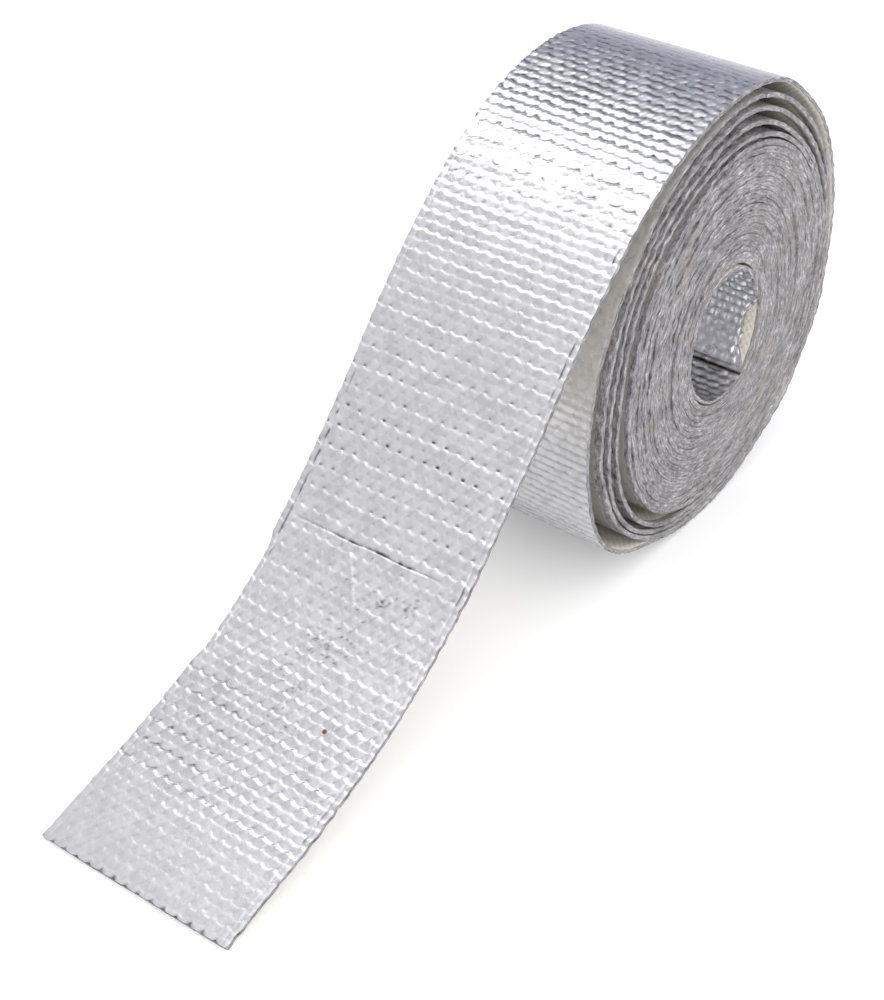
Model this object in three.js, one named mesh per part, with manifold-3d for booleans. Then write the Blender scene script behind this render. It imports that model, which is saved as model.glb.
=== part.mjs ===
import * as THREE from 'three';
import { mergeVertices } from 'three/addons/utils/BufferGeometryUtils.js';
import Module from 'manifold-3d';

// Heat shield tape: one long strip of foil-faced woven glass, wound into a roll
// that stands on its rim. The outer turns are loose, the free end curves down to
// the floor and the inner end is folded back inside the bore.
// Lengths in mm, angles in degrees. +Z up, the roll's axis along X, the free end
// towards -Y. Angles run from +Y towards +Z about the roll's axis.

// Tape
const TAPE_WIDTH = 50;
const TAPE_THICKNESS = 1.15;

// Tight coil
const BORE_RADIUS = 17.6;
const TIGHT_TURNS = 20;
const TIGHT_PITCH = 1.4;
const EDGE_GROOVE_DEPTH = 0.5;

// Loose turns: where the strip leaves the coil, and where its free end leaves the roll
const START_ANGLE = 9;
const START_DEPTH = 0.4;
const LIFT_ANGLE = 27;
const LEAVING_ANGLE = 108;

// Gap under each loose turn at every eighth of a turn, from 0 to 315 degrees
const GAPS = [
  [0.2, 0.2, 2.6, 2.8, 0.7, 2.8, 1.2, 1.0],
  [0.2, 0.2, 2.0, 1.8, 2.0, 1.0, 0.2, 0.2],
  [0.2, 0.2, 2.0, 1.6, 2.0, 0.8, 0.2, 0.2],
  [0.2, 0.3, 2.2, 1.6, 4.2, 3.6, 0.2, 0.3],
  [0.2, 3.0, 1.7, 5.0],
];
const GAP_ANGLE = 360 / GAPS[0].length;

// Free end: points on its foil face, measured from the roll's axis and the floor
const FREE_END = [
  [-34.5, 105],
  [-55, 90],
  [-70, 74.5],
  [-87.5, 52.2],
  [-104, 35],
  [-121, 23],
  [-145, 12.6],
  [-178, 1.1],
];
const FREE_END_STEPS = 24;

// Inner end folded back on the wall of the bore
const INNER_END_RECESS = 2.5;
const INNER_END_FROM = -50;
const INNER_END_TO = 100;

// Facets
const FACETS_PER_TURN = 40;
const FACET_ANGLE = 360 / FACETS_PER_TURN;

const COIL_RADIUS = BORE_RADIUS + TIGHT_TURNS * TIGHT_PITCH;
const HALF_WIDTH = TAPE_WIDTH / 2;

const wasm = await Module();
wasm.setup();

// A closed three.js geometry as a solid that can be joined
function solidFrom(geometry) {
  const bare = geometry.clone();
  bare.deleteAttribute('normal');
  bare.deleteAttribute('uv');
  const merged = mergeVertices(bare, 1e-4);
  return new wasm.Manifold(new wasm.Mesh({
    numProp: 3,
    vertProperties: new Float32Array(merged.attributes.position.array),
    triVerts: new Uint32Array(merged.index.array),
  }));
}

// A joined solid as a three.js geometry
function geometryFrom(solid) {
  const mesh = solid.getMesh();
  const geometry = new THREE.BufferGeometry();
  geometry.setAttribute('position', new THREE.BufferAttribute(mesh.vertProperties, 3));
  geometry.setIndex(new THREE.BufferAttribute(mesh.triVerts, 1));
  geometry.computeVertexNormals();
  return geometry;
}

// Gap under the strip where it has turned this far past 0 degrees
function gapUnder(angle) {
  const gaps = GAPS.flat();
  const place = angle / GAP_ANGLE;
  const before = Math.floor(place);
  const share = THREE.MathUtils.smoothstep(place - before, 0, 1);
  return THREE.MathUtils.lerp(gaps[before], gaps[before + 1], share);
}

// Foil-face points of the loose turns about the roll's axis, from the coil outwards.
// Each turn lies one thickness and one gap outside the turn before it.
function looseTurns() {
  const radii = [];
  const points = [];
  const lastAngle = (GAPS.length - 1) * 360 + LEAVING_ANGLE;
  for (let angle = START_ANGLE; angle <= lastAngle; angle += FACET_ANGLE) {
    const under = radii.length < FACETS_PER_TURN ? COIL_RADIUS : radii.at(-FACETS_PER_TURN);
    const lift = THREE.MathUtils.smoothstep(angle, START_ANGLE, START_ANGLE + LIFT_ANGLE);
    const step = TAPE_THICKNESS + gapUnder(angle);
    const radius = under + THREE.MathUtils.lerp(-START_DEPTH, step, lift);
    const a = THREE.MathUtils.degToRad(angle);
    radii.push(radius);
    points.push(new THREE.Vector2(radius * Math.cos(a), radius * Math.sin(a)));
  }
  return points;
}

// The strip's side outline: its foil-face points and the same points one thickness in
function stripOutline(facePoints) {
  const back = facePoints.map((point, i) => {
    const before = facePoints[Math.max(i - 1, 0)];
    const after = facePoints[Math.min(i + 1, facePoints.length - 1)];
    const along = after.clone().sub(before).normalize();
    return new THREE.Vector2(point.x - along.y * TAPE_THICKNESS, point.y + along.x * TAPE_THICKNESS);
  });
  return new THREE.Shape([...facePoints, ...back.reverse()]);
}

// A side outline (Y, Z) pushed out along X between two places
function acrossRoll(shape, fromX, toX) {
  const geometry = new THREE.ExtrudeGeometry(shape, { depth: toX - fromX, bevelEnabled: false });
  geometry.rotateX(Math.PI / 2);
  geometry.rotateZ(Math.PI / 2);
  geometry.translate(fromX, 0, 0);
  return geometry;
}

// Tight coil: a turned ring whose ends rise and fall once for every turn
function tightCoil() {
  const end = [];
  for (let i = 0; i <= 2 * TIGHT_TURNS; i++) {
    const radius = BORE_RADIUS + i * TIGHT_PITCH / 2;
    end.push(new THREE.Vector2(radius, HALF_WIDTH - (i % 2 ? 0 : EDGE_GROOVE_DEPTH)));
  }
  const start = end.map((point) => new THREE.Vector2(point.x, -point.y)).reverse();
  const profile = [...end, ...start, end[0].clone()];
  const geometry = new THREE.LatheGeometry(profile.reverse(), FACETS_PER_TURN);
  geometry.rotateZ(-Math.PI / 2);
  return geometry;
}

// Folded-back inner end: an arc of tape against the wall of the bore, its roots
// sunk into the wall so that it is one body with the coil
function innerEnd() {
  const radius = BORE_RADIUS - TAPE_THICKNESS;
  const root = BORE_RADIUS + TIGHT_PITCH / 2;
  const inside = [];
  const outside = [];
  for (let angle = INNER_END_FROM; angle <= INNER_END_TO; angle += FACET_ANGLE) {
    const a = THREE.MathUtils.degToRad(angle);
    inside.push(new THREE.Vector2(radius * Math.cos(a), radius * Math.sin(a)));
    outside.push(new THREE.Vector2(root * Math.cos(a), root * Math.sin(a)));
  }
  const shape = new THREE.Shape([...outside, ...inside.reverse()]);
  return acrossRoll(shape, INNER_END_RECESS - HALF_WIDTH, HALF_WIDTH - INNER_END_RECESS);
}

// Loose turns and free end as one strip, with the roll's axis at this height
function looseStrip(turns, axisHeight) {
  const curve = new THREE.CatmullRomCurve3([
    new THREE.Vector3(turns.at(-2).x, turns.at(-2).y, 0),
    new THREE.Vector3(turns.at(-1).x, turns.at(-1).y, 0),
    ...FREE_END.map(([y, z]) => new THREE.Vector3(y, z - axisHeight, 0)),
  ]);
  const free = curve.getSpacedPoints(FREE_END_STEPS).slice(1);
  const path = [...turns.slice(0, -1), ...free.map((point) => new THREE.Vector2(point.x, point.y))];
  return acrossRoll(stripOutline(path), -HALF_WIDTH, HALF_WIDTH);
}

const turns = looseTurns();
const axisHeight = -Math.min(...turns.map((point) => point.y));
const tape = solidFrom(tightCoil())
  .add(solidFrom(innerEnd()))
  .add(solidFrom(looseStrip(turns, axisHeight)));

const foil = new THREE.MeshStandardMaterial({ color: 0xc9c9d2, roughness: 0.35, metalness: 0.9 });
const mesh = new THREE.Mesh(geometryFrom(tape), foil);
mesh.name = 'tape';

// Stand the roll on the floor, with the middle of the whole length at the origin
const box = new THREE.Box3().setFromObject(mesh);
mesh.position.y = -(box.min.y + box.max.y) / 2;
mesh.position.z = -box.min.z;

const roll = new THREE.Group();
roll.add(mesh);

export default roll;
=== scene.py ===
import bpy
import numpy as np
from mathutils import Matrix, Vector


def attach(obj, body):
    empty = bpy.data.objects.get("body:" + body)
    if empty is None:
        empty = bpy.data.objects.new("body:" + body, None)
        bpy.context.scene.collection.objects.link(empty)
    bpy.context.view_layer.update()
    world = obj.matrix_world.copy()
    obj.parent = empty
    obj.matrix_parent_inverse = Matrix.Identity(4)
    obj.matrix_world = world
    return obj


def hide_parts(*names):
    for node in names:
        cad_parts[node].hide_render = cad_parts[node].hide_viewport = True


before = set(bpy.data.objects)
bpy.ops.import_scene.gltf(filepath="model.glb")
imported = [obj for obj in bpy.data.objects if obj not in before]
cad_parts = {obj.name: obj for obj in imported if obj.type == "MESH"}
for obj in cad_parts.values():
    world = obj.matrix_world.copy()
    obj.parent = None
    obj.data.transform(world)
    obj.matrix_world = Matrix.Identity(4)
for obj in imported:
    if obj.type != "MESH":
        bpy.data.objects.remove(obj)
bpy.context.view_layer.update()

# Studio: a pale floor, a white tent all round and one soft box close above the roll, to
# its left. The camera looks down on the near end of the roll from the free end's side.
CAMERA_TARGET = Vector((0.0, -0.0145, 0.03745))
CAMERA_DIRECTION = Vector((0.4866, -0.6334, 0.6016))
CAMERA_DISTANCE = 0.4
CAMERA_LENS = 65.4
SOFT_BOX_PLACE = (-0.12, 0.0, 0.30)
SOFT_BOX_SIZE = (0.13, 0.12)
SOFT_BOX_POWER = 0.09


def linear(colour):
    """An sRGB hex colour as linear red, green and blue: c / 12.92 below 0.04045, and
    ((c + 0.055) / 1.055) ** 2.4 above it."""
    c = np.array([int(colour[i:i + 2], 16) for i in (1, 3, 5)]) / 255
    return (*np.where(c <= 0.04045, c / 12.92, ((c + 0.055) / 1.055) ** 2.4).tolist(), 1.0)


def node(tree, kind, settings=None, inputs=None):
    """Adds one node: its settings, then its inputs, each a value or the socket it is linked from."""
    made = tree.nodes.new(kind)
    for name, value in (settings or {}).items():
        setattr(made, name, value)
    for name, value in (inputs or {}).items():
        if isinstance(value, bpy.types.NodeSocket):
            tree.links.new(value, made.inputs[name])
        else:
            made.inputs[name].default_value = value
    return made


scene = bpy.context.scene
scene.view_settings.view_transform = "Standard"
lens = bpy.data.cameras.new("camera")
lens.lens, lens.sensor_width = CAMERA_LENS, 36.0
lens.clip_start, lens.clip_end = 0.01, 20.0
camera = bpy.data.objects.new("camera", lens)
scene.collection.objects.link(camera)
camera.location = CAMERA_TARGET + CAMERA_DIRECTION.normalized() * CAMERA_DISTANCE
camera.rotation_mode = "QUATERNION"
camera.rotation_quaternion = (-CAMERA_DIRECTION).to_track_quat("-Z", "Y")
scene.camera = camera

lamp = bpy.data.lights.new("soft_box", "AREA")
lamp.shape = "RECTANGLE"
lamp.size, lamp.size_y = SOFT_BOX_SIZE
lamp.energy = SOFT_BOX_POWER
soft_box = bpy.data.objects.new("soft_box", lamp)
soft_box.location = SOFT_BOX_PLACE
soft_box.visible_camera = False
scene.collection.objects.link(soft_box)

# The tent is nearly white, with two dimmer blue-grey openings at the back on the left, one
# low and one halfway up, dimmer at the front on the left, and brightest above the camera.
world = bpy.data.worlds.new("white_tent")
world.use_nodes = True
tent = world.node_tree
tent.nodes.clear()
towards = node(tent, "ShaderNodeTexCoord").outputs["Generated"]
shade = linear("#acacad")
for centre, inner, outer, colour in (
    ((-0.46, 0.88, 0.14), 0.97, 0.80, "#8d8d97"),
    ((-0.49, 0.66, 0.57), 0.985, 0.88, "#737580"),
    ((-0.50, -0.72, 0.48), 0.97, 0.72, "#a2a1a2"),
    ((0.45, -0.35, 0.82), 0.97, 0.55, "#ffffff"),
):
    facing = node(tent, "ShaderNodeVectorMath", {"operation": "DOT_PRODUCT"},
                  {0: towards, 1: Vector(centre).normalized()}).outputs["Value"]
    share = node(tent, "ShaderNodeMapRange", {"interpolation_type": "SMOOTHSTEP"},
                 {"Value": facing, "From Min": outer, "From Max": inner}).outputs["Result"]
    shade = node(tent, "ShaderNodeMix", {"data_type": "RGBA"},
                 {"Factor": share, 6: shade, 7: linear(colour)}).outputs[2]
light = node(tent, "ShaderNodeBackground", None, {"Color": shade, "Strength": 2.0})
node(tent, "ShaderNodeOutputWorld", None, {"Surface": light.outputs[0]})
scene.world = world

# White paper sweep, matt, on a light table that glows a little through it
floor_mesh = bpy.data.meshes.new("floor")
floor_mesh.from_pydata([(-3, -3, 0), (3, -3, 0), (3, 3, 0), (-3, 3, 0)], [], [(0, 1, 2, 3)])
floor = bpy.data.objects.new("floor", floor_mesh)
scene.collection.objects.link(floor)
paper = bpy.data.materials.new("white_paper")
paper.use_nodes = True
paper.node_tree.nodes.clear()
matt = node(paper.node_tree, "ShaderNodeBsdfPrincipled", None,
            {"Base Color": (0.95, 0.95, 0.95, 1.0), "Roughness": 0.9, "Specular IOR Level": 0.1,
             "Emission Color": (1.0, 1.0, 1.0, 1.0), "Emission Strength": 0.10})
node(paper.node_tree, "ShaderNodeOutputMaterial", None, {"Surface": matt.outputs[0]})
floor_mesh.materials.append(paper)

# The tape: aluminium foil, satin where it is pressed into the weave of the glass cloth
# under it. The cloth's back is cream, and its selvedges show grey glass yarn.
MM = 0.001
WIDTH = 50.0
THICKNESS = 1.15
ROW_PITCH = 4.67
ROW_STEP = ROW_PITCH / 2
LOOP_PITCH = 3.37
FIRST_ROW = 22.5
FIRST_LOOP = 3.5


def smooth(low, high, x):
    """0 below low, 1 above high, 3t² - 2t³ between them."""
    t = np.clip((x - low) / (high - low), 0, 1)
    return t * t * (3 - 2 * t)


def patchy(u, s, size_u, size_s, seed):
    """Soft random patches from 0 to 1: a random number at each corner of a grid with cells
    size_u by size_s, blended with 3t² - 2t³ between the corners."""
    corners = np.random.default_rng(seed).random((64, 4096))
    a, b = np.asarray(u) / size_u + 2, np.asarray(s) / size_s + 7
    i, j = np.floor(a).astype(int), np.floor(b).astype(int)
    a, b = smooth(0, 1, a - i), smooth(0, 1, b - j)
    i0, i1, j0, j1 = i % 64, (i + 1) % 64, j % 4096, (j + 1) % 4096
    return ((corners[i0, j0] * (1 - a) + corners[i1, j0] * a) * (1 - b)
            + (corners[i0, j1] * (1 - a) + corners[i1, j1] * a) * b)


def curve_through(points, step):
    """Closely spaced points on the natural cubic spline through the given ones, with the
    spline's parameter running along the chords between them."""
    points = np.array(points, float)
    t = np.r_[0, np.cumsum(np.hypot(*np.diff(points, axis=0).T))]
    h = np.diff(t)
    n = len(t)
    system = np.eye(n)
    right = np.zeros_like(points)
    for i in range(1, n - 1):
        system[i, i - 1:i + 2] = h[i - 1], 2 * (h[i - 1] + h[i]), h[i]
        right[i] = 6 * ((points[i + 1] - points[i]) / h[i] - (points[i] - points[i - 1]) / h[i - 1])
    bend = np.linalg.solve(system, right)

    def at(x):
        i = np.clip(np.searchsorted(t, x) - 1, 0, n - 2)
        a, b = ((t[i + 1] - x) / h[i])[:, None], ((x - t[i]) / h[i])[:, None]
        return (a * points[i] + b * points[i + 1]
                + ((a ** 3 - a) * bend[i] + (b ** 3 - b) * bend[i + 1]) * h[i][:, None] ** 2 / 6)

    fine_t = np.linspace(0, t[-1], int(t[-1] / step) + 1)
    fine = at(fine_t)
    run = np.r_[0, np.cumsum(np.hypot(*np.diff(fine, axis=0).T))]
    return fine, run, np.interp(t, fine_t, run)


def by_distance(s, *stops):
    """A value that runs in straight lines between (distance along the tape, value) stops."""
    distances, values = zip(*stops)
    return np.interp(s, distances, values)


def row_line(u, s, k):
    """Where the line before row k lies, in mm past the first: k steps, plus 0.6 mm, or 0.4
    for odd k, times (0.4 - |sin(pi u / loop)|). Every second line is half a loop across
    from its neighbours. Past 395 mm the lines are nearly straight."""
    arc = np.abs(np.sin(np.pi * ((u - FIRST_LOOP) / LOOP_PITCH + 0.5 * (k % 2))))
    straight = 1 - 0.7 * smooth(380, 395, s)
    return ROW_STEP * k + (0.6 - 0.2 * (k % 2)) * (0.4 - arc) * straight


def place_in_weave(u, s):
    """The place in mm past the first row, less the rows' tilt and wander; the row's number;
    how far back its line is, and how far ahead the next; the share of the way between
    them; and how near the groove between two loops is, from 0 to 0.5 in the groove."""
    tilt = 0.03 * (25 - u) * smooth(150, 200, s)
    wander = 0.45 * patchy(u, s, 9, 6, 1) + 0.3 * patchy(u, s, 2.5, 3, 2) - 0.35
    flat = s - FIRST_ROW - tilt + wander
    row = np.round(flat / ROW_STEP)
    row = np.where(flat < row_line(u, s, row), row - 1, row)
    gone, left = flat - row_line(u, s, row), row_line(u, s, row + 1) - flat
    way = gone / (gone + left)
    loops = (u - FIRST_LOOP) / LOOP_PITCH + 0.5 * (row % 2)
    return flat, row, gone, left, way, np.abs((loops - 0.35 * way) % 1.0 - 0.5)


def shaded_pits(u, s):
    """Shallow pits where two loops meet on a line, with painted shade in them: bell curves 0.46
    by 0.32 mm, as strong as that row's listed value. The rows 95 to 115 mm along have the most."""
    flat = place_in_weave(u, s)[0]
    near = np.round((flat - 0.15) / ROW_STEP)
    wear_and_shade = by_distance(near, (-2, 0.0), (0, 0.3), (8, 0.4), (16, 0.2), (28, 0.3), (30, 0.9), (34, 0.8),
                       (35, 0.8), (36, 1.5), (38, 1.5), (39, 0.8), (40, 0.8), (44, 0.7), (52, 0.3),
                       (62, 0.3), (66, 0.3), (80, 0.0))
    loop = np.round((u - FIRST_LOOP) / LOOP_PITCH)
    wear_and_shade = wear_and_shade * np.where(near % 2 == 1, 0.2, 1.0) * (0.15 + 0.85 * patchy(loop, near, 1, 1, 9))
    off = ((u - FIRST_LOOP) / LOOP_PITCH + 0.5 * (near % 2) + 0.5) % 1.0 - 0.5
    past = flat - ROW_STEP * near
    return wear_and_shade * np.exp(-(off * LOOP_PITCH / 0.46) ** 2 - ((past - 0.25) / 0.32) ** 2)


def pressed_height(u, s):
    """Height of the foil over the weave in mm: press times row, plus dents, less the folds
    along the edges and the pits where loops meet. A row rises slowly, drops steeply to the
    next line, and has a shallow groove between two loops."""
    flat, row, gone, left, way, groove = place_in_weave(u, s)
    press = by_distance(s, (0, 0.3), (12, 0.4), (17, 0.7), (22, 1.1), (50, 1.3), (62, 1.1), (75, 0.9),
                        (90, 1.2), (130, 1.2), (150, 1.1), (165, 1.1), (200, 1.7), (213, 1.9),
                        (222, 0.3), (245, 0.2), (275, 1.3), (470, 1.3), (490, 0.5), (600, 0.5))
    halfway = by_distance(s, (0, 0.8), (15, 0.5), (60, 0.5), (80, 0.4), (90, 0.3), (120, 0.5),
                          (150, 0.6), (175, 0.5), (190, 1.0), (600, 1.0))
    press = press * np.where(row % 2 == 1, 1.0, halfway)
    press = press * (0.6 + 0.5 * patchy(u + 7 * row, row, 9, 1, 3) + 0.3 * patchy(u, row, 2.0, 1, 4))
    drop = by_distance(s, (0, 0.75), (80, 0.7), (88, 0.38), (145, 0.4), (160, 0.8), (185, 1.0),
                       (203, 0.8), (212, 0.6), (600, 0.8))
    rows = 0.15 * smooth(-0.2, 0.7, way) * smooth(0, 1, left / drop)
    rows = rows - 0.07 * smooth(0.34, 0.5, groove) * (1 - 0.5 * way) * smooth(0.0, 0.12, way)

    lean = np.sin(2 * np.pi * (u - 1.1 * gone) / (LOOP_PITCH / 2) + 5 * patchy(u, s, 6, 4, 5))
    dents = 0.045 * (patchy(u, s, 1.5, 1.1, 7) - 0.5) + 0.03 * (patchy(u, s, 0.8, 0.6, 8) - 0.5)
    dents = (dents + 0.013 * lean) * by_distance(s, (0, 1), (150, 1), (165, 1.7), (215, 1.7), (221, 1),
                                                 (228, 0.3), (300, 1), (370, 1), (390, 0.3))
    folds = 0.06 * (np.exp(-((u - 1.7) / 0.22) ** 2) + np.exp(-((u - 48.5) / 0.22) ** 2))
    folds = folds * (0.4 + patchy(u, s, 30, 3.1, 6)) + 0.04 * (smooth(0.8, 0, u) + smooth(49.2, 50, u))
    return press * rows + dents - folds - 0.07 - 0.2 * shaded_pits(u, s)


def foil_wear_and_shade(u, s):
    """How far the foil is darkened, from 0 to 1, by wear and by painted shade: painted shade
    in the pits where loops meet, dark stitches on the folds along the edges, and painted shade
    as dashes on the lines, streaks across the loops, and in the grooves and over whole stretches."""
    flat, row, gone, left, way, groove = place_in_weave(u, s)
    near = np.round((flat - 0.15) / ROW_STEP)
    far_edge = np.exp(-((u - 1.7) / 0.2) ** 2) * smooth(72, 76, s) * smooth(122, 118, s)
    near_edge = np.exp(-((u - 48.6) / 0.2) ** 2) * by_distance(
        s, (18, 0), (22, 1), (30, 1), (34, 0.3), (78, 0.3), (82, 1), (90, 1), (94, 0.2), (128, 0.2),
        (132, 1), (162, 1), (166, 0))
    stitches = 0.9 * (far_edge + near_edge) * smooth(0.45, 0.7, patchy(u, s, 30, 2.6, 10))

    # Painted shade: dark dashes at the foot of each row's line, where the foil drops steeply: on the far
    # half of the free end from 21 to 50 mm, across the tape from 160 to 222 mm, and as ribs on the outer
    # turn from 385 to 490 mm
    low_rows = 0.75 * smooth(32, 16, u) * smooth(21, 22, s) * smooth(50, 44, s) * (near % 2 == 0)
    high_rows = by_distance(s, (160, 0), (170, 1.2), (188, 1.3), (196, 1.1), (219, 0.8), (222, 0), (385, 0),
                            (395, 0.5), (470, 0.45), (490, 0.0))
    high_rows = high_rows * np.where(near % 2 == 0, 1, 0.3 + 0.7 * smooth(185, 192, s))
    broad = by_distance(s, (150, 0.2), (175, 0.26), (190, 0.26), (205, 0.42), (220, 0.42), (390, 0.35))
    from_line = flat - row_line(u, s, near) - 0.05
    unbroken = 0.45 * smooth(380, 395, s)
    shade_dashes = (low_rows + high_rows) * smooth(0.25, 0.65, patchy(u, near, 1.1, 1, 12) + unbroken)
    shade_dashes = shade_dashes * np.exp(-(from_line / broad) ** 2)

    # Painted shade: faint dark streaks leaning across the loops, fainter on the free end's first 20 mm
    shade_streaks = by_distance(s, (0, 0.05), (20, 0.05), (30, 0.11))
    shade_streaks = shade_streaks * smooth(0.62, 0.3, patchy(u + 0.6 * gone, s, 0.9, 1.4, 13))
    # Painted shade: darker in the grooves between loops, on the free end's first 40 mm (fading out by 62
    # mm), over the top of the roll from 236 to 262 mm (fading out by 225 and 300 mm), and on the outer turn
    # from 410 to 470 mm (fading out by 380 and 490 mm)
    painted_shade = 0.12 * smooth(0.3, 0.5, groove) * (1 - way) + 0.10 * smooth(62, 40, s)
    painted_shade = painted_shade + 0.22 * smooth(225, 236, s) * smooth(300, 262, s)
    painted_shade = painted_shade + 0.12 * smooth(380, 410, s) * smooth(490, 470, s)
    return shaded_pits(u, s) + stitches + 0.75 * shade_dashes + shade_streaks + painted_shade


def weave(u, s):
    """Height of the foil in mm, and how far it is darkened by wear and by painted shade, from 0 to 1."""
    return pressed_height(u, s), foil_wear_and_shade(u, s)


def tape_strip(name, face, along, across, rise, wear_and_shade, sway, thickness=THICKNESS, cut=None, frayed=0.0):
    """One length of tape. A ring of points goes round its section: the foil face, the near
    edge, the back and the far edge, and is carried along the run of the foil face. A point
    is face + normal (rise - depth), where depth goes from 0 on the foil to the thickness.
    Within the frayed width of an edge, loose yarn covers the foil and the back."""
    n, m = len(along), len(across)
    forward = np.gradient(face, axis=0)
    forward /= np.hypot(*forward.T)[:, None]
    outward = np.stack([-forward[:, 1], forward[:, 0]], 1)
    back = across[::max(1, m // 16)] if m > 30 else across
    if back[-1] != across[-1]:
        back = np.r_[back, across[-1]]
    # The edge's section: shares of the thickness, and how far in from the full width, in mm
    side = np.array([0.06, 0.16, 0.5, 0.84, 0.94])
    lip = np.array([0.05, 0.0, 0.04, 0.0, 0.05])
    u = np.concatenate([across, WIDTH - lip, back[::-1], lip])
    depth = np.concatenate([np.zeros(m), side, np.ones(len(back)), side[::-1]])
    ring = len(u)
    u, part = np.broadcast_to(u, (n, ring)), np.broadcast_to(depth, (n, ring))
    height = np.zeros((n, ring))
    height[:, :m] = rise
    height[:, m:m + 2] = height[:, m - 1:m]
    height[:, -2:] = height[:, :1]
    height -= depth * np.broadcast_to(np.reshape(thickness, (-1, 1)), (n, 1))
    s = np.broadcast_to(along[:, None], (n, ring)).copy()
    x = u - WIDTH / 2 + sway[:, 1:] * smooth(WIDTH - 4, WIDTH, u) - sway[:, :1] * smooth(4, 0, u)
    y = face[:, :1] + outward[:, :1] * height
    z = face[:, 1:] + outward[:, 1:] * height
    if cut is not None:
        shift = cut(u) * smooth(6, 0, s - along[0])
        y, z = y + forward[:, :1] * shift, z + forward[:, 1:] * shift
    points = np.stack([x, y, z], -1).reshape(-1, 3) * MM
    i, j = np.meshgrid(np.arange(n - 1), np.arange(ring), indexing="ij")
    a, b = i * ring + j, i * ring + (j + 1) % ring
    quads = np.stack([a, b, b + ring, a + ring], -1).reshape(-1, 4)
    mesh = bpy.data.meshes.new(name)
    mesh.vertices.add(n * ring)
    mesh.vertices.foreach_set("co", points.ravel())
    corners = np.concatenate([quads.ravel(), np.arange(ring)[::-1], (n - 1) * ring + np.arange(ring)])
    starts = np.concatenate([np.arange(len(quads)) * 4, [len(quads) * 4, len(quads) * 4 + ring]])
    mesh.loops.add(len(corners))
    mesh.loops.foreach_set("vertex_index", corners.astype(np.int32))
    mesh.polygons.add(len(starts))
    mesh.polygons.foreach_set("loop_start", starts.astype(np.int32))
    finish = np.full((n - 1, ring), 2)
    finish[:, :m - 1] = 0
    finish[:, m + len(side):m + len(side) + len(back) - 1] = 1
    middle = (u[:-1, :] + np.roll(u, -1, 1)[:-1, :]) / 2
    finish[(middle < frayed) | (middle > WIDTH - frayed)] = 2
    mesh.polygons.foreach_set("material_index", np.r_[finish.ravel(), 2, 2].astype(np.int32))
    pattern = mesh.uv_layers.new(name="tape")
    flat = np.stack([u, s], -1).reshape(-1, 2) * MM
    pattern.data.foreach_set("uv", flat[corners].ravel())
    mesh.update(calc_edges=True)
    mesh.shade_smooth()
    ends = np.zeros(2 * len(mesh.edges), np.int32)
    mesh.edges.foreach_get("vertices", ends)
    ends = ends.reshape(-1, 2)
    corner = np.isin(ends % ring, (0, m - 1)).all(1) & (ends[:, 0] % ring == ends[:, 1] % ring)
    at_an_end = (ends < ring).all(1) | (ends >= (n - 1) * ring).all(1)
    mesh.edges.foreach_set("use_edge_sharp", corner | at_an_end)
    # The foil face's darkening, from wear and from painted shade
    torn_and_shaded = np.zeros((n, ring))
    torn_and_shaded[:, :m] = wear_and_shade
    for value, values in (("depth", part), ("wear_and_painted_shade", torn_and_shaded)):
        layer = mesh.attributes.new(value, "FLOAT", "POINT")
        layer.data.foreach_set("value", np.clip(values, 0, 1).astype(np.float32).ravel())
    piece = bpy.data.objects.new(name, mesh)
    scene.collection.objects.link(piece)
    for material in (foil, backing, selvedge):
        mesh.materials.append(material)
    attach(piece, "root")
    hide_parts("tape")
    return piece


# Rolled aluminium foil, pressed into the weave: bright satin metal with fine crinkles of
# 0.6 mm, dull in clouds of 6 mm, dark where it is worn and where shade is painted on it,
# and one rust-brown speck.
RUSTY_SPECK = (37.2 * MM, 47.2 * MM, 0.0)
foil = bpy.data.materials.new("pressed_aluminium_foil")
foil.use_nodes = True
tree = foil.node_tree
tree.nodes.clear()
on_tape = node(tree, "ShaderNodeUVMap", {"uv_map": "tape"}).outputs["UV"]
crinkle = node(tree, "ShaderNodeTexNoise", None,
               {"Vector": on_tape, "Scale": 1600.0, "Detail": 3.0, "Roughness": 0.6}).outputs["Fac"]
cloud = node(tree, "ShaderNodeTexNoise", None,
             {"Vector": on_tape, "Scale": 160.0, "Detail": 3.0, "Roughness": 0.6}).outputs["Fac"]
relief = node(tree, "ShaderNodeBump", None,
              {"Strength": 0.35, "Distance": 0.00012, "Height": crinkle}).outputs["Normal"]
dull = node(tree, "ShaderNodeMapRange", None,
            {"Value": cloud, "From Min": 0.3, "From Max": 0.7, "To Min": 0.24, "To Max": 0.34})
tone = node(tree, "ShaderNodeMix", {"data_type": "RGBA"},
            {"Factor": cloud, 6: linear("#e0e0e4"), 7: linear("#ebebef")}).outputs[2]
wear_and_painted_shade = node(tree, "ShaderNodeAttribute", {"attribute_name": "wear_and_painted_shade"}).outputs["Fac"]
from_speck = node(tree, "ShaderNodeVectorMath", {"operation": "DISTANCE"},
                  {0: on_tape, 1: RUSTY_SPECK}).outputs["Value"]
rusty = node(tree, "ShaderNodeMapRange", None,
             {"Value": from_speck, "From Min": 0.7 * MM, "From Max": 0.4 * MM}).outputs[0]
# Darker towards #3a3a3c by wear and by painted shade
tone = node(tree, "ShaderNodeMix", {"data_type": "RGBA"},
            {"Factor": wear_and_painted_shade, 6: tone, 7: linear("#3a3a3c")}).outputs[2]
tone = node(tree, "ShaderNodeMix", {"data_type": "RGBA"},
            {"Factor": rusty, 6: tone, 7: linear("#8a5a45")}).outputs[2]
surface = node(tree, "ShaderNodeBsdfPrincipled", None,
               {"Base Color": tone, "Metallic": 1.0, "Roughness": dull.outputs[0], "Normal": relief})
node(tree, "ShaderNodeOutputMaterial", None, {"Surface": surface.outputs[0]})

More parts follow.
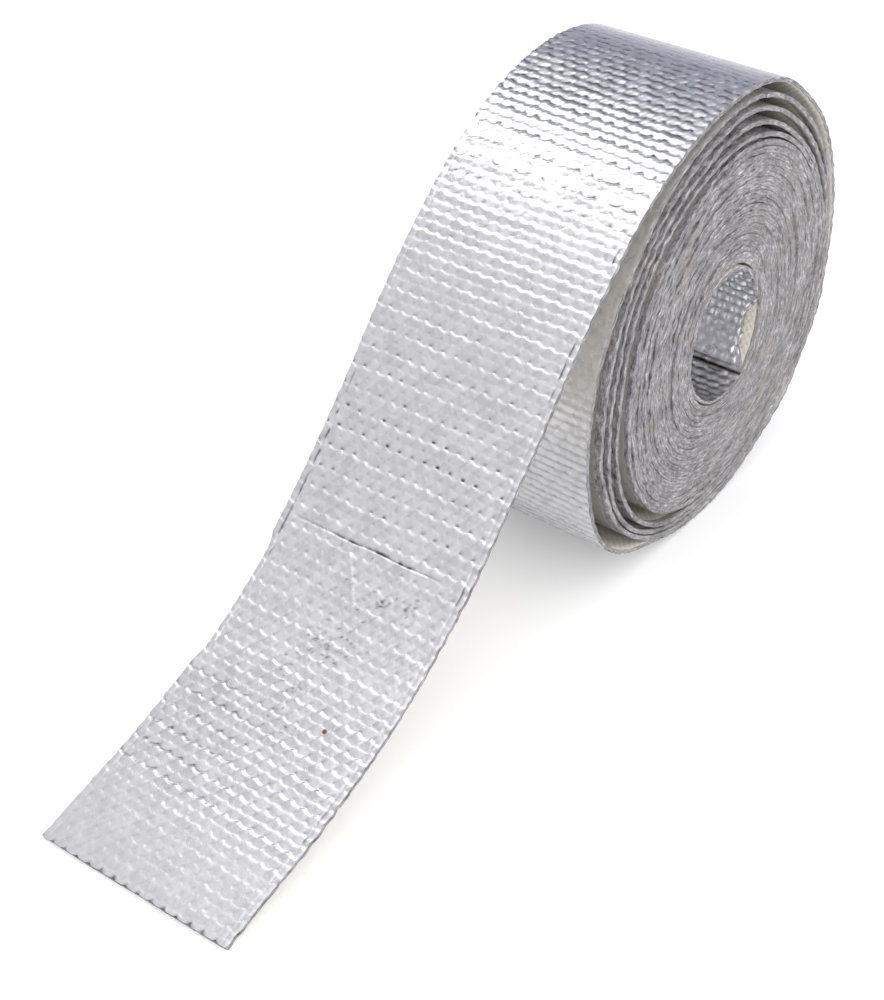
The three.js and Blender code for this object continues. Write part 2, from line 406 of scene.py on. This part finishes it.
# Woven glass cloth, the tape's back: matt cream yarns, 1.7 mm apart across the tape and
# 2.3 mm apart along it, in a plain weave whose crossings catch a little light
backing = bpy.data.materials.new("woven_glass_cloth")
backing.use_nodes = True
tree = backing.node_tree
tree.nodes.clear()
on_tape = node(tree, "ShaderNodeUVMap", {"uv_map": "tape"}).outputs["UV"]
parts = node(tree, "ShaderNodeSeparateXYZ", None, {"Vector": on_tape})
ridges = []
for side, pitch in (("X", LOOP_PITCH / 2), ("Y", ROW_STEP)):
    turn = node(tree, "ShaderNodeMath", {"operation": "MULTIPLY"},
                {0: parts.outputs[side], 1: 2 * np.pi / (pitch * MM)}).outputs[0]
    ridges.append(node(tree, "ShaderNodeMath", {"operation": "SINE"}, {0: turn}).outputs[0])
yarns = node(tree, "ShaderNodeMath", {"operation": "MULTIPLY"}, {0: ridges[0], 1: ridges[1]}).outputs[0]
cloud = node(tree, "ShaderNodeTexNoise", None,
             {"Vector": on_tape, "Scale": 250.0, "Detail": 4.0, "Roughness": 0.65}).outputs["Fac"]
tone = node(tree, "ShaderNodeMix", {"data_type": "RGBA"},
            {"Factor": cloud, 6: linear("#d3cfc2"), 7: linear("#efece2")}).outputs[2]
relief = node(tree, "ShaderNodeBump", None,
              {"Strength": 0.5, "Distance": 0.00015, "Height": yarns}).outputs["Normal"]
surface = node(tree, "ShaderNodeBsdfPrincipled", None,
               {"Base Color": tone, "Metallic": 0.0, "Roughness": 0.75, "IOR": 1.5, "Normal": relief})
node(tree, "ShaderNodeOutputMaterial", None, {"Surface": surface.outputs[0]})

# Selvedge: glass yarn turned back at each row between the foil and the back. Fine grey
# streaks run along it, stained brown in places, with specks that glint and a trace of cream
# at the back. Its greys are kept dark, partly as painted shade for the narrow gaps between
# turns at the roll's end. The streaks are drawn about three times as coarse as real glass yarn.
selvedge = bpy.data.materials.new("glass_selvedge")
selvedge.use_nodes = True
tree = selvedge.node_tree
tree.nodes.clear()
on_tape = node(tree, "ShaderNodeUVMap", {"uv_map": "tape"}).outputs["UV"]
place = node(tree, "ShaderNodeTexCoord").outputs["Object"]
depth = node(tree, "ShaderNodeAttribute", {"attribute_name": "depth"}).outputs["Fac"]
parts = node(tree, "ShaderNodeSeparateXYZ", None, {"Vector": on_tape})
inset, run = parts.outputs["X"], parts.outputs["Y"]
fibre = node(tree, "ShaderNodeCombineXYZ", None, {
    "X": node(tree, "ShaderNodeMath", {"operation": "MULTIPLY"}, {0: depth, 1: 3.0}).outputs[0],
    "Y": node(tree, "ShaderNodeMath", {"operation": "MULTIPLY"}, {0: run, 1: 380.0}).outputs[0],
    "Z": node(tree, "ShaderNodeMath", {"operation": "MULTIPLY"}, {0: inset, 1: 1400.0}).outputs[0],
}).outputs[0]
streak = node(tree, "ShaderNodeTexNoise", None,
              {"Vector": fibre, "Scale": 1.0, "Detail": 6.0, "Roughness": 0.82}).outputs["Fac"]
speck = node(tree, "ShaderNodeTexNoise", None,
             {"Vector": place, "Scale": 900.0, "Detail": 2.0, "Roughness": 0.6}).outputs["Fac"]
stain = node(tree, "ShaderNodeTexNoise", None,
             {"Vector": place, "Scale": 110.0, "Detail": 2.0, "Roughness": 0.6}).outputs["Fac"]
blotch = node(tree, "ShaderNodeTexNoise", None,
              {"Vector": place, "Scale": 170.0, "Detail": 3.0, "Roughness": 0.6}).outputs["Fac"]
blotch = node(tree, "ShaderNodeMath", {"operation": "MULTIPLY_ADD"},
              {0: blotch, 1: 0.24, 2: -0.12}).outputs[0]
uneven = node(tree, "ShaderNodeMath", {"operation": "ADD"}, {0: streak, 1: blotch}).outputs[0]
ramp = node(tree, "ShaderNodeValToRGB", None, {"Fac": uneven})
for at, colour in ((0.34, "#3c3b3c"), (0.45, "#78767a"), (0.55, "#9b999d"), (0.66, "#e2e0e0")):
    stop = ramp.color_ramp.elements.new(at)
    stop.color = linear(colour)
ramp.color_ramp.elements.remove(ramp.color_ramp.elements[0])
ramp.color_ramp.elements.remove(ramp.color_ramp.elements[-1])
warm = node(tree, "ShaderNodeMapRange", None,
            {"Value": stain, "From Min": 0.52, "From Max": 0.72, "To Min": 0.0, "To Max": 0.35}).outputs[0]
tone = node(tree, "ShaderNodeMix", {"data_type": "RGBA"},
            {"Factor": warm, 6: ramp.outputs["Color"], 7: linear("#9a8e84")}).outputs[2]
cream = node(tree, "ShaderNodeMapRange", None,
             {"Value": depth, "From Min": 0.80, "From Max": 0.95, "To Min": 0.0, "To Max": 0.3}).outputs[0]
tone = node(tree, "ShaderNodeMix", {"data_type": "RGBA"},
            {"Factor": cream, 6: tone, 7: linear("#a9a498")}).outputs[2]
shiny = node(tree, "ShaderNodeMapRange", None,
             {"Value": speck, "From Min": 0.55, "From Max": 0.63, "To Min": 0.0, "To Max": 0.9}).outputs[0]
relief = node(tree, "ShaderNodeBump", None,
              {"Strength": 0.6, "Distance": 0.0002, "Height": streak}).outputs["Normal"]
surface = node(tree, "ShaderNodeBsdfPrincipled", None,
               {"Base Color": tone, "Metallic": shiny, "Roughness": 0.5, "Normal": relief})
node(tree, "ShaderNodeOutputMaterial", None, {"Surface": surface.outputs[0]})

# Free end: the tape comes up off the floor in one long curve and over the top of the
# roll. Its front end is cut square with shears, which leaves a notch at every yarn.
AXIS = np.array([63.5, 52.02])
FREE_END = [(-114.4, 1.5), (-95.8, 7.0), (-76.4, 13.8), (-58.5, 23.0), (-42.9, 34.5), (-28.7, 48.0),
            (-15.3, 62.8), (-2.0, 78.3), (12.1, 92.7), (27.7, 104.6), (45.5, 112.0), (60.4, 113.9)]

# Foil-face radius of each loose turn at even steps, clockwise from the top. The outermost
# has twice the steps, because it bulges out at the bottom on the free end's side.
TURNS = [
    [62.2, 60.5, 57.2, 55.2, 53.2, 51.8, 51.1, 51.9, 51.7, 51.9, 50.7, 51.0,
     51.4, 52.5, 54.0, 58.2, 60.2, 59.4, 59.0, 58.8, 58.4, 58.6, 59.3, 59.2],
    [59.1, 53.9, 50.6, 49.6, 50.4, 49.5, 50.1, 52.9, 54.1, 53.4, 54.8, 55.9],
    [56.1, 51.2, 48.8, 48.2, 49.0, 48.1, 48.7, 51.5, 52.4, 50.2, 51.6, 52.9],
    [53.0, 48.4, 46.8, 46.8, 47.6, 46.8, 47.4, 49.8, 49.0, 47.0, 48.4, 49.9],
    [49.5, 46.9, 45.5],
]
STEPS = [15] + [30] * (len(TURNS) - 1)
loose = np.concatenate(TURNS)
loose_degrees = np.concatenate([360 * k + step * np.arange(len(row))
                                for k, (row, step) in enumerate(zip(TURNS, STEPS))])

# Tight turns, from the loose ones in to a bore that has been squeezed a little oval.
# Their radius = bore + (outermost tight turn - bore) (1 - turn / 20).
TIGHT_TURNS = 20
BORE = [18.5, 17.4, 15.7, 16.0, 18.4, 20.6, 19.9, 19.0, 17.8, 16.9, 17.4, 18.6]
OUTERMOST = [48.3, 46.9, 45.5, 45.4, 46.2, 45.4, 46.0, 47.2, 44.8, 43.2, 45.0, 46.8]
count = np.arange(51, 51 + 12 * TIGHT_TURNS)
inward = (count - 50) / 12 / TIGHT_TURNS
bore = np.array(BORE)[count % 12]
tight = bore + (np.array(OUTERMOST)[count % 12] - bore) * (1 - inward)
tight += 0.5 * (patchy(count % 12, count / 12, 2, 3, 21) - 0.5) + 0.16 * (patchy(count, 0, 1, 1, 22) - 0.5)
radii = np.r_[loose, tight]
clockwise = np.radians(90 - np.r_[loose_degrees, 30.0 * count])
stations = AXIS + radii[:, None] * np.stack([np.cos(clockwise), np.sin(clockwise)], 1)
FREE_LENGTH = 262.0
OUTER_LENGTH = 575.0
outer_run, outer_along, passed = curve_through(FREE_END + list(map(tuple, stations[1:])), 0.1)
LOOSE_LENGTH = float(passed[len(FREE_END) + len(loose) - 2])
TAPE_LENGTH = float(passed[-1])


def run_of_tape(along):
    """Where the foil face lies at each of these distances along the tape."""
    return np.stack([np.interp(along, outer_along, outer_run[:, k]) for k in (0, 1)], 1)


def notches(u):
    """A narrow peak from 0 to 1 at every yarn: (1 - |sin(pi u / loop)|) squared."""
    return (1 - np.abs(np.sin(np.pi * (u - 3.1) / LOOP_PITCH))) ** 2


def edges(along, drift, seed):
    """How far each edge stands out of line: a loop of yarn at every row, slow drift, and
    the far edge tucked in for 25 mm of the free end."""
    loops = 0.08 * np.sin(2 * np.pi * (along - FIRST_ROW) / ROW_PITCH)
    tucked = 0.9 * smooth(46, 52, along) * smooth(82, 75, along)
    return np.stack([loops + 0.16 * (patchy(side * 40, along, 1, 1.1, seed) - 0.5)
                     + drift * (patchy(side * 40, along, 1, 12, seed + 1) - 0.5) - 0.1 - tucked * (1 - side)
                     for side in (0, 1)], 1)


def marks(u, s):
    """The free end's own marks, as height and as darkening: a crease across it, 85 mm from
    its tip, with painted shade along its fold, dark notches at its front cut, a light scratch,
    and scuffs round five places."""
    across_it = smooth(2, 6, u) * smooth(44, 40, u)
    crease = s - 84.6 - 0.02 * u - 0.3 * patchy(u, 0, 3.4, 1, 31)
    height = across_it * (0.06 * np.exp(-((crease + 0.5) / 0.35) ** 2) - 0.2 * np.exp(-(crease / 0.3) ** 2))
    # Painted shade along the crease's fold, patchy along its length
    torn_and_shaded = 0.75 * across_it * (0.6 + 0.8 * smooth(12, 18, u) * smooth(38, 34, u))
    torn_and_shaded = torn_and_shaded * np.exp(-((crease - 0.05) / 0.34) ** 2) * (0.2 + 0.9 * patchy(u, 0, 1.2, 1, 32))
    torn_and_shaded = torn_and_shaded + 1.1 * patchy(u, 0, 2, 1, 35) * smooth(0.8, 0.2, s) * notches(u)
    t = np.clip(((u - 27.5) * -7.5 + (s - 72) * 11) / (7.5 ** 2 + 11 ** 2), 0, 1)
    scratch = np.hypot(u - 27.5 + 7.5 * t, s - 72 - 11 * t)
    height = height + 0.07 * np.exp(-(scratch / 0.3) ** 2)
    rng = np.random.default_rng(5)
    for middle, spread, number in (
        ((27, 64), (3.5, 2.6), 46),
        ((33, 77), (1.2, 1.4), 14),
        ((39.5, 78), (1.5, 1.5), 14),
        ((23, 50), (4.5, 5), 26),
        ((25, 74), (3, 4), 12),
    ):
        for du, ds in rng.normal(0, 1, (number, 2)) * spread:
            long, thin, lean = rng.uniform(0.25, 0.6), rng.uniform(0.14, 0.24), rng.uniform(-0.6, 1.2)
            a, b = u - middle[0] - du, s - middle[1] - ds
            p, q = a * np.cos(lean) + b * np.sin(lean), b * np.cos(lean) - a * np.sin(lean)
            torn_and_shaded = torn_and_shaded + rng.uniform(0.3, 0.8) * np.exp(-(p / long) ** 2 - (q / thin) ** 2)
    return height, torn_and_shaded


def front_cut(u):
    """The cut front: a notch at every yarn, and the far corner 1.5 mm further out."""
    return 0.45 * notches(u) - 1.5 * (1 - u / WIDTH)


CREASED_LENGTH = 88.9
for name, start, end, stops in (
    ("free_end", 0, CREASED_LENGTH, 330),
    ("top_turn", CREASED_LENGTH, FREE_LENGTH, 560),
):
    along = np.linspace(start, end, stops)
    face = run_of_tape(along)
    across = np.linspace(0.12, WIDTH - 0.12, 150)
    U, S = np.meshgrid(across, along)
    height, torn_and_shaded = weave(U, S)
    if start == 0:
        more_height, more_torn_and_shaded = marks(U, S)
        height, torn_and_shaded = height + more_height, torn_and_shaded + more_torn_and_shaded
    tape_strip(name, face, along, across, height, torn_and_shaded, edges(along, drift=0.25, seed=11),
               cut=front_cut if start == 0 else None)

# Outer turn: on from the top, down behind the roll, under it and up on the free end's side,
# where the camera sees it close up between the free end and the roll
RISING_LENGTH = 470.0
along = np.r_[np.linspace(FREE_LENGTH, RISING_LENGTH - 0.5, 378),
              np.linspace(RISING_LENGTH, OUTER_LENGTH, 258)]
face = run_of_tape(along)
across = np.linspace(0.12, WIDTH - 0.12, 120)
U, S = np.meshgrid(across, along)
tape_strip("outer_turn", face, along, across, *weave(U, S), edges(along, drift=0.25, seed=13))

# Loose turns: four turns that have sprung open at the top and on the free end's side
along = np.linspace(OUTER_LENGTH, LOOSE_LENGTH, 1250)
face = run_of_tape(along)
across = np.array([0.12, 1, 2, 3, 4.5, 7, 12, 20, 30, 38, 43, 45.5, 47, 48, 49, 49.88])
U, S = np.meshgrid(across, along)
height, torn_and_shaded = weave(U, S)
tape_strip("loose_turns", face, along, across, 0.5 * height, torn_and_shaded, edges(along, drift=0.6, seed=15),
           frayed=1.6)

# Tight turns: the rest of the tape, wound hard, each turn filling the pitch. Each turn's
# edge stands a little in or out of line with its neighbours.
along = np.arange(LOOSE_LENGTH, TAPE_LENGTH, 1.0)
face = run_of_tape(along)
across = np.array([0.12, 1.2, 4, 25, 46, 48.8, 49.88])
pitch = np.interp(along, passed[-len(tight):-12], tight[:-12] - tight[12:])
filling = THICKNESS + (0.99 * pitch - THICKNESS) * smooth(0, 80, along - LOOSE_LENGTH)
tape_strip("tight_turns", face, along, across, 0.0, 0.0, edges(along, drift=0.8, seed=17),
           thickness=filling, frayed=1.5)

# Inner end: folded back on itself, so that its foil lines the bore. It runs once round
# the wall and a little over its own start, ends in a square cut that stands off the wall,
# and its near edge is drawn in by the fold.
LINING_MIDDLE = np.array([63.3, 50.9])
LINING_THICKNESS = 0.6
LINING = [15.3, 15.0, 14.9, 15.0, 16.3, 17.4, 17.8, 17.2, 16.0, 15.6, 16.4, 17.5, 18.3, 17.4]
turned = np.radians(-57 + 30.0 * np.arange(len(LINING)))
points = LINING_MIDDLE + np.array(LINING)[:, None] * np.stack([np.cos(turned), np.sin(turned)], 1)
face, along, stops = curve_through(points, 0.35)
across = np.linspace(0.12, WIDTH - 0.12, 130)
U, S = np.meshgrid(across, along)
brick = 0.5 * (np.floor(S / ROW_PITCH * 2) % 2)
bumps = (np.abs(np.sin(2 * np.pi * S / ROW_PITCH)) * np.abs(np.cos(np.pi * (U / LOOP_PITCH + brick)))) ** 0.8
fold_over = 3.2 * smooth(0, 7, along) * smooth(19, 12, along) + 5 * smooth(103, 106, along)
drawn_in = edges(along, drift=0.5, seed=19) - np.stack([0 * along, fold_over], 1)
below_cut = stops[12] - S
shadowed = (smooth(1.3, 0.7, below_cut) * smooth(0.0, 0.3, below_cut)
            + np.exp(-((below_cut - 1.9) / 0.3) ** 2) * smooth(41, 42, U) * smooth(46, 45, U))
pushed_out = 0.35 + 0.4 * smooth(4, 12, S) * smooth(72, 60, S)
tape_strip("inner_end", face, along, across, pushed_out * bumps * (0.6 + 0.6 * patchy(U, S, 3, 3, 33)),
           shadowed, drawn_in, thickness=LINING_THICKNESS)
